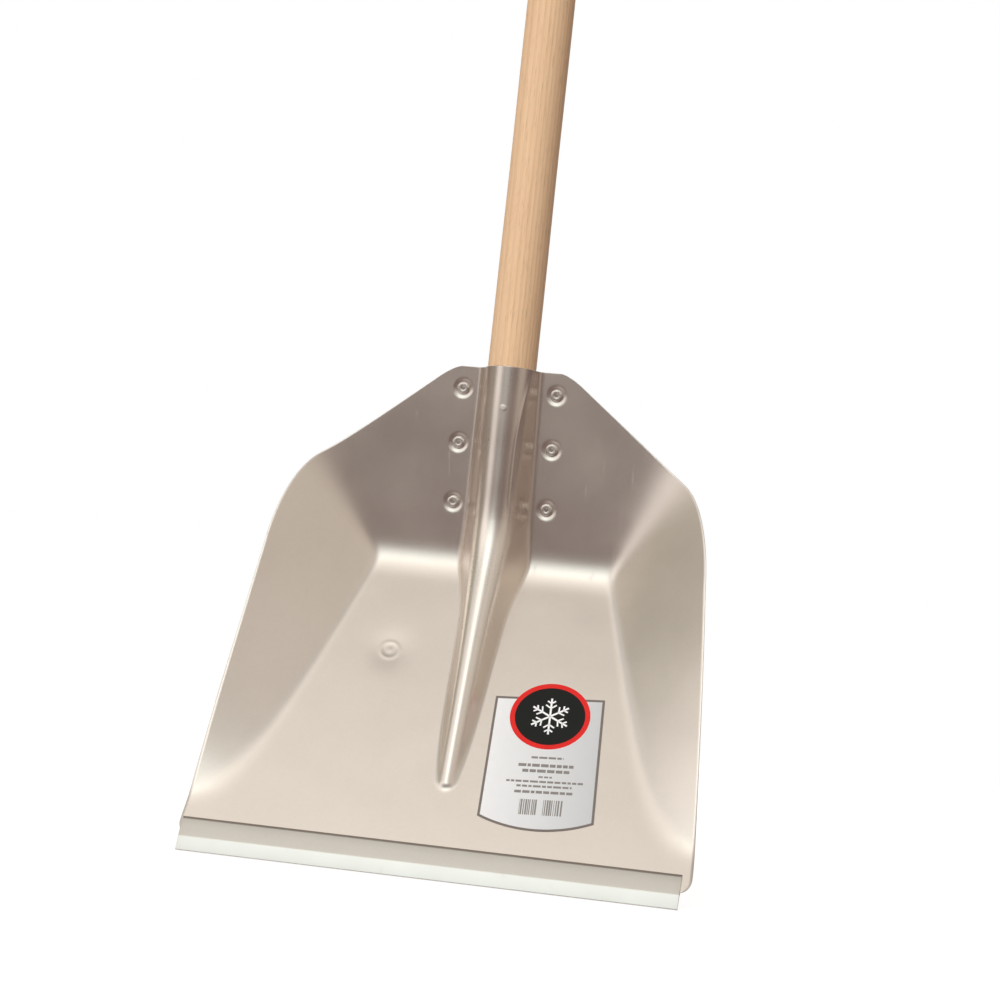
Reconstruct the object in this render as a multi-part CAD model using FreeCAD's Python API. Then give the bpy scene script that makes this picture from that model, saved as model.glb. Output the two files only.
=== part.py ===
# Snow shovel: pressed aluminium blade on a round wooden handle.
# Millimetres, +Z up along the handle, the hollow of the blade faces -Y.
# Every shape is drawn with the handle axis at x = 0, y = 0 and the bend between rear wall and
# floor of the blade at z = 0; one shift at the end puts the origin under the middle of the shovel.
import FreeCAD, Part
import math
import os

# blade sheet and the two flats it is pressed into
SHEET = 1.5
REAR_LEAN = 5.0          # rear wall, top leaning to the front, degrees from the handle axis
FLOOR_LEAN = 30.0        # floor, degrees from the handle axis
CREASE_Y = 12.6          # front face of the sheet where the two flats meet
CREASE_BLEND = 13.0
FLOOR_LENGTH = 261.0     # crease to front edge, along the floor

# outline of the blade seen from the front
TOP_EDGE_Z = 153.6
TOP_EDGE_HALF = 39.0
TOP_CORNER = (46.0, 152.5)
SLOPE_START = (56.0, 145.0)
SHOULDER_START = (146.0, 74.0)
SHOULDER_PULL = ((161.6, 60.5), (170.0, 26.5))
SHOULDER_END = (172.0, -2.5)
SIDE_MIDDLE = (181.4, -96.0)
FRONT_CORNER = (191.0, -210.0)
FRONT_CORNER_RADIUS = 10.0
FRONT_CORNER_FLARE = 0.3  # width gained from the front corner to the start of its rounding

# side walls
WALL_FOOT_HALF = 92.5    # half width of the floor at the crease
WALL_PITCH = 0.71        # mm of rise per mm of width
WALL_CURL = 0.0006       # the walls ease off towards their edges
WALL_PITCH_LOSS = 0.0017 # pitch lost per mm below the crease
WALL_LEAN = 0.355        # mm forward per mm down
WALL_LEAN_GAIN = 0.29
WALL_TOP_LEAN = 0.1      # mm further forward per mm above the crease
WALL_TURN = 30.0
WALL_END = 110.0         # below this the walls flatten faster
WALL_END_LOSS = 0.0000188
WALL_FADE_START = 185.0
WALL_FADE_END = 213.0
WALL_BLEND = 4.5         # fold at the foot of the walls
WALL_BLEND_GAIN = 0.45   # softer per mm above the crease
WALL_BLEND_TURN = 20.0

# round handle, tapered where it sits in the socket
HANDLE_RADIUS = 19.0
HANDLE_LENGTH = 1300.0
HANDLE_BOTTOM_Z = 34.0
HANDLE_TAPER = 0.02      # radius lost per mm below the rim
HANDLE_END_ROUND = 9.0
HANDLE_FOOT_BEVEL = 2.0
HANDLE_FIT = 0.2         # gap round the handle

# half-round socket pressed in the blade, running out as a ridge on the floor
FLANK_DRAFT = 24.0       # degrees, beside the handle
FLANK_DRAFT_RIDGE = 13.0 # steeper once the ridge has left the socket
FLANK_CHANGE_START = 0.65
FLANK_CHANGE_END = 0.95  # shares of the ridge between which the flanks change
FLANK_DRAFT_TIP = 52.0
FLANK_DRAFT_POWER = 2.6
SOCKET_BLEND = 12.0      # fillet at the foot of the socket
SOCKET_BLEND_TIP = 0.3   # share of it left at the tip of the ridge
RIDGE_START_Z = 20.0
RIDGE_BEND = 15.0
RIDGE_ONSET = 0.25       # share of the ridge over which it leaves the socket
RIDGE_TIP_Z = -167.0
RIDGE_TIP_RADIUS = 8.5
RIDGE_TIP_HEIGHT = 2.8
RIDGE_RADIUS_POWER = 2.4
RIDGE_END_DROP = 6.0
RIDGE_END_LENGTH = 13.0

# plate behind the blade that closes the socket
PLATE_THICKNESS = 1.5
PLATE_TOP_HALF = 52.0
PLATE_BOTTOM_HALF = 46.0
PLATE_TOP_Z = 151.5
PLATE_BOTTOM_Z = 27.0
PLATE_CORNER = 9.0
PLATE_GAP = 0.05

# blind rivets through blade and plate
RIVET_HALF = 37.2
RIVET_ROWS = (("upper", 136.3), ("middle", 93.9), ("lower", 47.3))
RIVET_SHANK = 2.4
RIVET_HEAD = 4.8
RIVET_HEAD_HEIGHT = 1.5
RIVET_BORE = 1.35
RIVET_BACK_GAP = 0.02
RIVET_BULB = 3.7
RIVET_BULB_HEIGHT = 3.6
MANDREL_END = 2.25
HOLE_PLAY = 0.1
SHEETS_BACK = -(SHEET + PLATE_GAP + PLATE_THICKNESS + RIVET_BACK_GAP)

# nail that keeps the handle in the socket
NAIL_Z = 121.0
NAIL_RADIUS = 2.0
NAIL_HEAD_RADIUS = 4.5
NAIL_HEAD_HEIGHT = 1.4
NAIL_TIP_RADIUS = 3.0
NAIL_TIP_HEIGHT = 1.3
NAIL_TIP_GAP = 0.05
NAIL_HEAD_GAP = 0.4

# folded steel strip on the front edge
STRIP_LEFT = -189.2
STRIP_RIGHT = 183.8
STRIP_THICKNESS = 0.8
STRIP_START = 245.8      # along the floor
STRIP_BEND = 262.2
STRIP_UNDER_START = 249.0
STRIP_LIP = 10.8
STRIP_NOSE = 0.55        # rounding of the lip, in thicknesses
STRIP_LIP_DROP = 12.6    # degrees, lip turned down from the floor
STRIP_GAP = 0.05

# label on the floor: corners as (x, distance along the floor)
LABEL_CORNERS = ((28.0, 217.6), (23.3, 115.6), (105.8, 109.6), (114.2, 214.4))
LABEL_BOTTOM = (72.2, 225.2)
LABEL_SEAL_CENTRE = (67.0, 128.4)
LABEL_SEAL_HALF_WIDTH = 30.3
LABEL_SEAL_HALF_HEIGHT = 28.4
LABEL_SEAL_TURN = 4.0
LABEL_THICKNESS = 0.2
LABEL_GAP = 0.03

# grid of places seen from the front through which the sheet's faces are drawn, finest in the middle
GRID_COLUMNS = 96
GRID_ROWS = 84
GRID_HALF_WIDTH = 202.0
GRID_MIDDLE_SHARE = 0.36
GRID_TOP_Z = 172.0
GRID_BOTTOM_Z = -244.0

# from the drawing frame to the part frame: origin under the middle of the bounding box
FRAME_SHIFT = FreeCAD.Vector(0, 50.31, 237.655)

X_AXIS = FreeCAD.Vector(1, 0, 0)
Y_AXIS = FreeCAD.Vector(0, 1, 0)
Z_AXIS = FreeCAD.Vector(0, 0, 1)
ORIGIN = FreeCAD.Vector(0, 0, 0)


def smooth_step(t):
    t = min(max(t, 0.0), 1.0)
    return t * t * (3 - 2 * t)


def smooth_min(a, b, blend):
    near = max(blend - abs(a - b), 0.0) / blend
    return min(a, b) - near ** 3 * blend / 6


def smooth_max(a, b, blend):
    return -smooth_min(-a, -b, blend)


def handle_radius(z):
    below_rim = min(max(TOP_EDGE_Z - z, 0.0), TOP_EDGE_Z - HANDLE_BOTTOM_Z)
    return HANDLE_RADIUS - HANDLE_TAPER * below_rim


def rear_wall(z):
    return CREASE_Y - math.tan(math.radians(REAR_LEAN)) * z


def floor_line(z):
    return CREASE_Y + math.tan(math.radians(FLOOR_LEAN)) * z


def side_wall(x, z):
    """Side wall, carried on past its foot and its fold."""
    down = -smooth_min(z, 0.0, WALL_TURN)
    loss = WALL_PITCH_LOSS * down + WALL_END_LOSS * max(down - WALL_END, 0.0) ** 2
    forward = (WALL_LEAN + WALL_LEAN_GAIN * loss) * z - WALL_TOP_LEAN * smooth_max(z, 0.0, WALL_TURN)
    out = abs(x) - WALL_FOOT_HALF
    return CREASE_Y + forward - (WALL_PITCH - loss) * out + WALL_CURL * out ** 2


def pan(x, z):
    """Rear wall, floor and side walls; the side walls die out before the front edge."""
    flats = smooth_min(rear_wall(z), floor_line(z), CREASE_BLEND)
    fold = WALL_BLEND + WALL_BLEND_GAIN * smooth_max(z, 0.0, WALL_BLEND_TURN)
    walled = smooth_min(flats, side_wall(x, z), fold)
    fade = smooth_step((-z - WALL_FADE_START) / (WALL_FADE_END - WALL_FADE_START))
    return flats * fade + walled * (1 - fade)


def ridge_share(z):
    """1 where the ridge leaves the socket, 0 at its tip."""
    return max(smooth_min((z - RIDGE_TIP_Z) / (RIDGE_START_Z - RIDGE_TIP_Z), 1.0, RIDGE_ONSET), 0.0)


def crown_radius(z):
    socket = handle_radius(z) + HANDLE_FIT + SHEET
    return RIDGE_TIP_RADIUS + (socket - RIDGE_TIP_RADIUS) * ridge_share(z) ** RIDGE_RADIUS_POWER


def crown_line(z):
    """Front of the socket, then of the ridge that slopes down to the floor."""
    socket = -(handle_radius(z) + HANDLE_FIT + SHEET)
    start = -(handle_radius(RIDGE_START_Z) + HANDLE_FIT + SHEET)
    tip = floor_line(RIDGE_TIP_Z) - RIDGE_TIP_HEIGHT
    slope = (start - tip) / (RIDGE_START_Z - RIDGE_TIP_Z)
    ridge = start + slope * (z - RIDGE_START_Z)
    return smooth_min(socket, ridge, RIDGE_BEND)


def bulge(x, z):
    """Half-round crown with drafted flanks."""
    share = ridge_share(z)
    radius = crown_radius(z)
    opening = (FLANK_DRAFT_TIP - FLANK_DRAFT_RIDGE) * (1 - share) ** FLANK_DRAFT_POWER
    near_socket = smooth_step((share - FLANK_CHANGE_START) / (FLANK_CHANGE_END - FLANK_CHANGE_START))
    easing = (FLANK_DRAFT - FLANK_DRAFT_RIDGE) * near_socket
    draft = math.radians(FLANK_DRAFT_RIDGE + opening + easing)
    side = abs(x)
    edge = radius * math.cos(draft)
    top = crown_line(z) + radius
    if side <= edge:
        return top - math.sqrt(radius ** 2 - side ** 2)
    return top - radius * math.sin(draft) + (side - edge) / math.tan(draft)


def sheet_front(x, z):
    """Front face of the blade: y for a place seen from the front."""
    if z < RIDGE_TIP_Z - RIDGE_END_LENGTH:
        return pan(x, z)
    end = RIDGE_END_DROP * smooth_step((RIDGE_TIP_Z - z) / RIDGE_END_LENGTH)
    fillet = SOCKET_BLEND * (SOCKET_BLEND_TIP + (1 - SOCKET_BLEND_TIP) * ridge_share(z) ** 2)
    return smooth_min(pan(x, z), bulge(x, z) + end, fillet)


def sheet_point(x, z, depth):
    """Point of the sheet at a depth behind its front face, square to the face."""
    step = 0.05
    slope_x = (sheet_front(x + step, z) - sheet_front(x - step, z)) / (2 * step)
    slope_z = (sheet_front(x, z + step) - sheet_front(x, z - step)) / (2 * step)
    back = FreeCAD.Vector(-slope_x, 1, -slope_z)
    back.normalize()
    return FreeCAD.Vector(x, sheet_front(x, z), z) + back * depth


def sheet_face(depth):
    """Smooth face of the sheet at a depth behind its front face, wider than the blade all round."""
    step = (GRID_TOP_Z - GRID_BOTTOM_Z) / GRID_ROWS
    columns = []
    for i in range(GRID_COLUMNS + 1):
        u = 2.0 * i / GRID_COLUMNS - 1
        x = GRID_HALF_WIDTH * (GRID_MIDDLE_SHARE * u + (1 - GRID_MIDDLE_SHARE) * u ** 3)
        columns.append([sheet_point(x, GRID_TOP_Z - step * j, depth) for j in range(GRID_ROWS + 1)])
    surface = Part.BSplineSurface()
    surface.interpolate(columns)
    return surface.toShape()


def in_plane(point, side=1):
    """Point (x, z) of the XZ plane, on the right for side 1 and mirrored to the left for side -1."""
    return FreeCAD.Vector(side * point[0], 0, point[1])


def line(a, b, side=1):
    return Part.makeLine(in_plane(a, side), in_plane(b, side))


def bezier(points, side=1):
    curve = Part.BezierCurve()
    curve.setPoles([in_plane(point, side) for point in points])
    return curve.toShape()


def closed_wire(edges):
    return Part.Wire(Part.__sortEdges__(edges))


def blade_outline():
    """Closed outline of the blade in the XZ plane."""
    front_z = -FLOOR_LENGTH * math.cos(math.radians(FLOOR_LEAN))
    round_start = (FRONT_CORNER[0] + FRONT_CORNER_FLARE, front_z + FRONT_CORNER_RADIUS)
    round_inset = FRONT_CORNER_RADIUS * (1 - math.cos(math.pi / 4))
    round_middle = (FRONT_CORNER[0] - round_inset, front_z + round_inset)
    round_end = (FRONT_CORNER[0] - FRONT_CORNER_RADIUS, front_z)
    top_end = (TOP_EDGE_HALF, TOP_EDGE_Z)
    edges = [Part.makeLine(in_plane(top_end, -1), in_plane(top_end))]
    edges.append(Part.makeLine(in_plane(round_end, -1), in_plane(round_end)))
    for side in (-1, 1):
        edges.append(bezier((top_end, TOP_CORNER, SLOPE_START), side))
        edges.append(line(SLOPE_START, SHOULDER_START, side))
        edges.append(bezier((SHOULDER_START,) + SHOULDER_PULL + (SHOULDER_END,), side))
        edges.append(Part.Arc(in_plane(SHOULDER_END, side), in_plane(SIDE_MIDDLE, side),
                              in_plane(FRONT_CORNER, side)).toShape())
        edges.append(line(FRONT_CORNER, round_start, side))
        edges.append(Part.Arc(in_plane(round_start, side), in_plane(round_middle, side),
                              in_plane(round_end, side)).toShape())
    return closed_wire(edges)


def wall_direction():
    """Unit vector square to the rear wall, pointing to the back."""
    lean = math.radians(REAR_LEAN)
    return FreeCAD.Vector(0, math.cos(lean), math.sin(lean))


def on_rear_wall(x, z, depth=0.0):
    return FreeCAD.Vector(x, rear_wall(z), z) + wall_direction() * depth


def on_floor(x, along, height=0.0):
    """Point of the floor: sideways, along the floor from the crease, height above it."""
    lean = math.radians(FLOOR_LEAN)
    y = CREASE_Y - along * math.sin(lean) - height * math.cos(lean)
    z = -along * math.cos(lean) + height * math.sin(lean)
    return FreeCAD.Vector(x, y, z)


def rivet_places():
    for row, z in RIVET_ROWS:
        yield "left_" + row, -RIVET_HALF, z
        yield "right_" + row, RIVET_HALF, z


def rivet_holes():
    ahead = 5
    radius = RIVET_SHANK + HOLE_PLAY
    return [Part.makeCylinder(radius, 3 * ahead, on_rear_wall(x, z, -ahead), wall_direction())
            for name, x, z in rivet_places()]


def nail_hole(radius):
    reach = 2 * HANDLE_RADIUS
    return Part.makeCylinder(radius, 2 * reach, FreeCAD.Vector(0, -reach, NAIL_Z), Y_AXIS)


def make_blade():
    """Pressed sheet: the space between its two faces, cut to the outline and drilled."""
    ahead = 170
    outline = Part.Face(blade_outline())
    outline.translate(Y_AXIS * -ahead)
    block = outline.extrude(Y_AXIS * (ahead + 40))
    from_front = sheet_face(0.0).extrude(Y_AXIS * 300)
    behind = sheet_face(SHEET).extrude(Y_AXIS * 300)
    sheet = block.common(from_front).cut(behind)
    for hole in rivet_holes():
        sheet = sheet.cut(hole)
    return sheet.cut(nail_hole(NAIL_RADIUS + HOLE_PLAY))


def make_handle():
    """Round pole with a domed top, a tapered end in the socket and a hole for the nail."""
    bottom = HANDLE_BOTTOM_Z
    top = bottom + HANDLE_LENGTH
    shoulder = top - HANDLE_END_ROUND
    foot = handle_radius(bottom)
    rim = HANDLE_RADIUS
    bevel = HANDLE_FOOT_BEVEL
    edges = [line((0, bottom), (foot - bevel, bottom))]
    edges.append(line((foot - bevel, bottom), (foot, bottom + bevel)))
    edges.append(line((foot, bottom + bevel), (rim, TOP_EDGE_Z)))
    edges.append(line((rim, TOP_EDGE_Z), (rim, shoulder)))
    edges.append(bezier(((rim, shoulder), (rim, top), (rim * 0.55, top), (0, top))))
    edges.append(line((0, top), (0, bottom)))
    wood = Part.Face(closed_wire(edges)).revolve(ORIGIN, Z_AXIS, 360)
    return wood.cut(nail_hole(NAIL_RADIUS))


def socket_cone(extra, low, high):
    """Cone round the tapered handle end, grown by extra."""
    radius_low = HANDLE_RADIUS - HANDLE_TAPER * (TOP_EDGE_Z - low) + extra
    radius_high = HANDLE_RADIUS - HANDLE_TAPER * (TOP_EDGE_Z - high) + extra
    return Part.makeCone(radius_low, radius_high, high - low, FreeCAD.Vector(0, 0, low))


def plate_outline():
    """Outline of the socket plate with cut corners."""
    half = PLATE_TOP_HALF
    low = PLATE_BOTTOM_HALF
    corner = PLATE_CORNER
    right = [(half - corner, PLATE_TOP_Z), (half, PLATE_TOP_Z - corner),
             (low, PLATE_BOTTOM_Z + corner), (low - corner, PLATE_BOTTOM_Z)]
    ring = [in_plane(point) for point in right] + [in_plane(point, -1) for point in reversed(right)]
    return Part.makePolygon(ring + [ring[0]])


def wall_slab(outline, near, far):
    """Outline seen from the front, as a slab between two depths behind the rear wall."""
    face = Part.Face(outline)
    face.translate(Y_AXIS * -60)
    block = face.extrude(Y_AXIS * 160)
    reach = 200
    slab = Part.makeBox(2 * reach, far - near, 2 * reach, FreeCAD.Vector(-reach, near, -reach))
    slab.rotate(ORIGIN, X_AXIS, REAR_LEAN)
    slab.translate(on_rear_wall(0, 0))
    return block.common(slab)


def make_socket_plate():
    """Plate pressed round the back of the handle, riveted to the rear wall by its two flanges."""
    near = SHEET + PLATE_GAP
    flat = wall_slab(plate_outline(), near, near + PLATE_THICKNESS)
    tube = socket_cone(HANDLE_FIT + PLATE_THICKNESS, PLATE_BOTTOM_Z, PLATE_TOP_Z)
    behind = wall_slab(plate_outline(), near, 4 * HANDLE_RADIUS)
    plate = flat.fuse(tube.common(behind))
    spare = 10
    plate = plate.cut(socket_cone(HANDLE_FIT, PLATE_BOTTOM_Z - spare, PLATE_TOP_Z + spare))
    for hole in rivet_holes():
        plate = plate.cut(hole)
    return plate.cut(nail_hole(NAIL_RADIUS + HOLE_PLAY)).removeSplitter()


def turned(points):
    """Solid of revolution about Z from (radius, height) points."""
    ring = [in_plane(point) for point in points]
    face = Part.Face(Part.makePolygon(ring + [ring[0]]))
    return face.revolve(ORIGIN, Z_AXIS, 360)


def place_on_wall(shape, x, z):
    """Height axis of the shape goes out of the front of the rear wall."""
    shape.rotate(ORIGIN, X_AXIS, 90 + REAR_LEAN)
    shape.translate(on_rear_wall(x, z))
    return shape


def make_rivet(x, z):
    """Hollow rivet: domed head in front, bulb behind the plate, open bore."""
    head = RIVET_HEAD
    tall = RIVET_HEAD_HEIGHT
    bulb = RIVET_BULB
    long = RIVET_BULB_HEIGHT
    head_side = [(RIVET_BORE, tall * 0.15), (RIVET_BORE * 1.5, tall * 0.75), (head * 0.55, tall),
                 (head * 0.8, tall * 0.8), (head * 0.96, tall * 0.4), (head, PLATE_GAP)]
    shank = [(RIVET_SHANK, PLATE_GAP), (RIVET_SHANK, SHEETS_BACK)]
    bulb_side = [(bulb * 0.92, SHEETS_BACK - long * 0.1), (bulb, SHEETS_BACK - long * 0.33),
                 (bulb * 0.85, SHEETS_BACK - long * 0.72), (RIVET_BORE, SHEETS_BACK - long)]
    return place_on_wall(turned(head_side + shank + bulb_side), x, z)


def make_mandrel(x, z):
    """Broken-off steel pin left in the bore, with its ball end behind."""
    radius = RIVET_BORE
    back = SHEETS_BACK - RIVET_BULB_HEIGHT
    points = [(0, 0.1), (radius * 0.8, 0.1), (radius, -0.1), (radius, back), (MANDREL_END, back),
              (MANDREL_END, back - 0.8), (MANDREL_END * 0.3, back - 1.5), (0, back - 1.6)]
    return place_on_wall(turned(points), x, z)


def make_nail():
    """Nail through plate, handle and socket, hammered flat in front."""
    front = -(handle_radius(NAIL_Z) + HANDLE_FIT + SHEET + NAIL_TIP_GAP)
    rear = handle_radius(NAIL_Z) + HANDLE_FIT + PLATE_THICKNESS + NAIL_HEAD_GAP
    tip = [(0, front - NAIL_TIP_HEIGHT), (NAIL_TIP_RADIUS * 0.6, front - NAIL_TIP_HEIGHT * 0.85),
           (NAIL_TIP_RADIUS, front - NAIL_TIP_HEIGHT * 0.2), (NAIL_TIP_RADIUS, front)]
    shank = [(NAIL_RADIUS, front), (NAIL_RADIUS, rear)]
    head = [(NAIL_HEAD_RADIUS, rear), (NAIL_HEAD_RADIUS, rear + NAIL_HEAD_HEIGHT * 0.5),
            (NAIL_HEAD_RADIUS * 0.8, rear + NAIL_HEAD_HEIGHT), (0, rear + NAIL_HEAD_HEIGHT)]
    nail = turned(tip + shank + head)
    nail.rotate(ORIGIN, X_AXIS, -90)
    nail.translate(FreeCAD.Vector(0, 0, NAIL_Z))
    return nail


def lip_point(out, down):
    """(along, height) on the turned-down lip: outward from its bend, and down from its upper face."""
    drop = math.radians(STRIP_LIP_DROP)
    along = STRIP_BEND + out * math.cos(drop) - down * math.sin(drop)
    height = STRIP_GAP + STRIP_THICKNESS - out * math.sin(drop) - down * math.cos(drop)
    return along, height


def make_edge_strip():
    """Steel strip folded over the front edge: upper flange, closed lip, lower flange."""
    thick = STRIP_THICKNESS
    top = STRIP_GAP + thick
    under = -SHEET - STRIP_GAP
    inner = FLOOR_LENGTH + 3 * STRIP_GAP
    nose = [lip_point(STRIP_LIP, 0), lip_point(STRIP_LIP + STRIP_NOSE * thick, thick),
            lip_point(STRIP_LIP, 2 * thick)]
    upper = [(STRIP_START, STRIP_GAP), (STRIP_START, top), (STRIP_BEND, top), nose[0]]
    lower = [nose[2], (STRIP_BEND + 3 * thick, under - thick), (STRIP_UNDER_START, under - thick),
             (STRIP_UNDER_START, under), (inner, under), (inner, STRIP_GAP), (STRIP_START, STRIP_GAP)]
    edges = [Part.Arc(*[on_floor(STRIP_LEFT, *point) for point in nose]).toShape()]
    for run in (upper, lower):
        for a, b in zip(run[:-1], run[1:]):
            edges.append(Part.makeLine(on_floor(STRIP_LEFT, *a), on_floor(STRIP_LEFT, *b)))
    return Part.Face(closed_wire(edges)).extrude(X_AXIS * (STRIP_RIGHT - STRIP_LEFT))


def floor_solid(wire):
    """Flat wire on the floor, thickened to a label."""
    lean = math.radians(FLOOR_LEAN)
    up = FreeCAD.Vector(0, -math.cos(lean), math.sin(lean))
    return Part.Face(wire).extrude(up * LABEL_THICKNESS)


def make_label():
    """Sticker with a curved bottom edge and an oval badge over its top edge."""
    corner = [on_floor(x, along, LABEL_GAP) for x, along in LABEL_CORNERS]
    bottom = on_floor(LABEL_BOTTOM[0], LABEL_BOTTOM[1], LABEL_GAP)
    edges = [Part.makeLine(corner[0], corner[1]), Part.makeLine(corner[1], corner[2]),
             Part.makeLine(corner[2], corner[3]), Part.Arc(corner[3], bottom, corner[0]).toShape()]
    sheet = floor_solid(Part.Wire(edges))
    turn = math.radians(LABEL_SEAL_TURN)
    ring = []
    steps = 48
    for i in range(steps):
        angle = 2 * math.pi * i / steps
        x = LABEL_SEAL_HALF_WIDTH * math.cos(angle)
        along = LABEL_SEAL_HALF_HEIGHT * math.sin(angle)
        ring.append(on_floor(LABEL_SEAL_CENTRE[0] + x * math.cos(turn) + along * math.sin(turn),
                             LABEL_SEAL_CENTRE[1] - x * math.sin(turn) + along * math.cos(turn), LABEL_GAP))
    curve = Part.BSplineCurve()
    curve.interpolate(ring, PeriodicFlag=True)
    return sheet.fuse(floor_solid(Part.Wire([curve.toShape()]))).removeSplitter()


def export(name, shape):
    placed = shape.copy()
    placed.translate(FRAME_SHIFT)
    placed.exportStep("parts/" + name + ".step")


os.makedirs("parts", exist_ok=True)
export("blade", make_blade())
export("socket_plate", make_socket_plate())
export("handle", make_handle())
export("handle_nail", make_nail())
export("edge_strip", make_edge_strip())
export("label", make_label())
for rivet_name, rivet_x, rivet_z in rivet_places():
    export("rivet_" + rivet_name, make_rivet(rivet_x, rivet_z))
    export("mandrel_" + rivet_name, make_mandrel(rivet_x, rivet_z))
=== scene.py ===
import math

import bmesh
import bpy
import numpy as np
from mathutils import Matrix, Vector


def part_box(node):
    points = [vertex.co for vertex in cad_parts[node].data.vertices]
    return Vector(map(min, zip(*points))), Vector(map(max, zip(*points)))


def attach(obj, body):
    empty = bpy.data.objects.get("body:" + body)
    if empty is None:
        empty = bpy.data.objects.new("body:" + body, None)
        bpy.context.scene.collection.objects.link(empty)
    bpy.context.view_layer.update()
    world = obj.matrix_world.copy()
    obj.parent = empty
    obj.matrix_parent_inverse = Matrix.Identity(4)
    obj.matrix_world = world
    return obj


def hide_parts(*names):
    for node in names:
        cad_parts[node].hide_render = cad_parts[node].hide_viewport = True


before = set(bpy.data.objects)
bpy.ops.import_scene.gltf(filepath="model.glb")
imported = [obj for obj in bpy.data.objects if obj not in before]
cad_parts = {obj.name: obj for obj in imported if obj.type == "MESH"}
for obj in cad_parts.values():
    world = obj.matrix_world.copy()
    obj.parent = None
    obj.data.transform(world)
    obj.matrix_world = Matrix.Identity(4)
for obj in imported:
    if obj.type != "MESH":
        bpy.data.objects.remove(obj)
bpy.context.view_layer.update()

# The snow shovel's looks. Lengths are in millimetres in the drawing frame, whose z = 0 is the bend
# between the blade's rear wall and floor and whose x = 0, y = 0 is the handle's axis; place() turns
# them into metres in the row frame. +Z runs up the handle, the hollow of the blade faces -Y.

# ------------------------------------------------ driving dimensions
SHEET = 1.5
REAR_LEAN = math.radians(5)
FLOOR_LEAN = math.radians(30)
CREASE_Y = 12.6
CREASE_BLEND = 13.0
FLOOR_LENGTH = 261.0

TOP_EDGE_Z = 153.6
TOP_EDGE_HALF = 39.0
TOP_CORNER = (46.0, 152.5)
SLOPE_START = (56.0, 145.0)
SHOULDER_START = (146.0, 74.0)
SHOULDER_PULL = ((161.6, 60.5), (170.0, 26.5))
SHOULDER_END = (172.0, -2.5)
SIDE_MIDDLE = (181.4, -96.0)
FRONT_CORNER = (191.0, -210.0)
FRONT_CORNER_RADIUS = 10.0
FRONT_CORNER_FLARE = 0.3  # width gained from the front corner to the start of its rounding
OUTLINE_STEPS = (24, 60, 16)  # points along each curve, the side's arc and the rounded corner
ROW_SPACING = 1.05       # of the blade's grid
ROW_RUN_SHARE = 0.35     # rows follow the run along the outline by this share, the height by the rest
BLADE_COLUMNS = 321
COLUMN_SPREAD = 0.52     # the columns stand closer together towards the socket
RIM_ROUNDING = 0.3       # of a sheet's cut edge
RIM_SHARES = (0.2, 0.5, 0.8)

WALL_FOOT_HALF = 92.5
WALL_PITCH = 0.71
WALL_CURL = 0.0006       # the walls ease off towards their edges
WALL_PITCH_LOSS = 0.0017
WALL_END = 110.0         # below this the walls flatten faster
WALL_END_LOSS = 0.0000188
WALL_LEAN = 0.355
WALL_LEAN_GAIN = 0.29
WALL_TOP_LEAN = 0.1      # mm further forward per mm above the bend
WALL_TURN = 30.0
WALL_FADE_START = 185.0
WALL_FADE_END = 213.0
WALL_BLEND = 4.5         # at the floor
WALL_BLEND_GAIN = 0.45   # per mm above the bend
WALL_BLEND_TURN = 20.0

HANDLE_RADIUS = 19.0
HANDLE_BOTTOM_Z = 34.0
HANDLE_TAPER = 0.02
HANDLE_FIT = 0.2
HANDLE_FOOT_RADIUS = 16.6
HANDLE_FOOT_BEVEL = 2.0
HANDLE_TOP_ROUNDING = 9.0
HANDLE_WEAR = 0.09       # height of each of the two waves along the free part
HANDLE_WEAR_RISE = 40.0  # they come in over this height above the socket
HANDLE_SLACK = 0.02      # the drawn wood stays inside its CAD solid

FLANK_DRAFT = math.radians(24)
FLANK_DRAFT_RIDGE = math.radians(13)
FLANK_CHANGE_START = 0.65
FLANK_CHANGE_END = 0.95
FLANK_DRAFT_TIP = math.radians(52)
FLANK_DRAFT_POWER = 2.6
SOCKET_BLEND = 12.0
SOCKET_BLEND_TIP = 0.3   # share of it left at the tip of the ridge
RIDGE_START_Z = 20.0
RIDGE_ONSET = 0.25       # share of the ridge over which it leaves the socket
RIDGE_BEND = 15.0
RIDGE_TIP_Z = -167.0
RIDGE_TIP_RADIUS = 8.5
RIDGE_TIP_HEIGHT = 2.8
RIDGE_RADIUS_POWER = 2.4
RIDGE_END_DROP = 6.0
RIDGE_END_LENGTH = 13.0
SHEEN = 0.06             # the drawn metal of the ridge is smoother by this much
SHEEN_END = 20.0         # below the ridge's tip
SHEEN_HALF = (-2.0, 26.0)  # half width at that end and at the bend
SHEEN_FADE = (-4.0, 2.0)   # it ends between these distances from the half width

PLATE_THICKNESS = 1.5
PLATE_GAP = 0.05
PLATE_NARROWING = 6.0    # of its half width, from top to bottom
PLATE_CORNER = 9.0
PLATE_BLEND_FRONT = 3.0
PLATE_BLEND_BACK = 5.0
PLATE_DISH = 0.6         # share of the blade's dishes that the plate follows
PLATE_GRID = (130, 121)  # rows and columns
TUBE_SIDE_SLOPE = 40.0   # how steeply the plate's tube falls away beyond its radius
RIVET_HALF = 37.2
RIVET_ROWS = (("upper", 136.3), ("middle", 93.9), ("lower", 47.3))
RIVET_HEAD = 4.8
RIVET_BORE = 1.35
RIVET_BULB_HEIGHT = 3.0
RIVET_GAP = 0.02         # between the rivet and what it holds
DISH_DEPTH = 0.9         # both sheets are pulled in round each rivet
DISH_RADIUS = 8.6
NAIL_Z = 121.0

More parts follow.
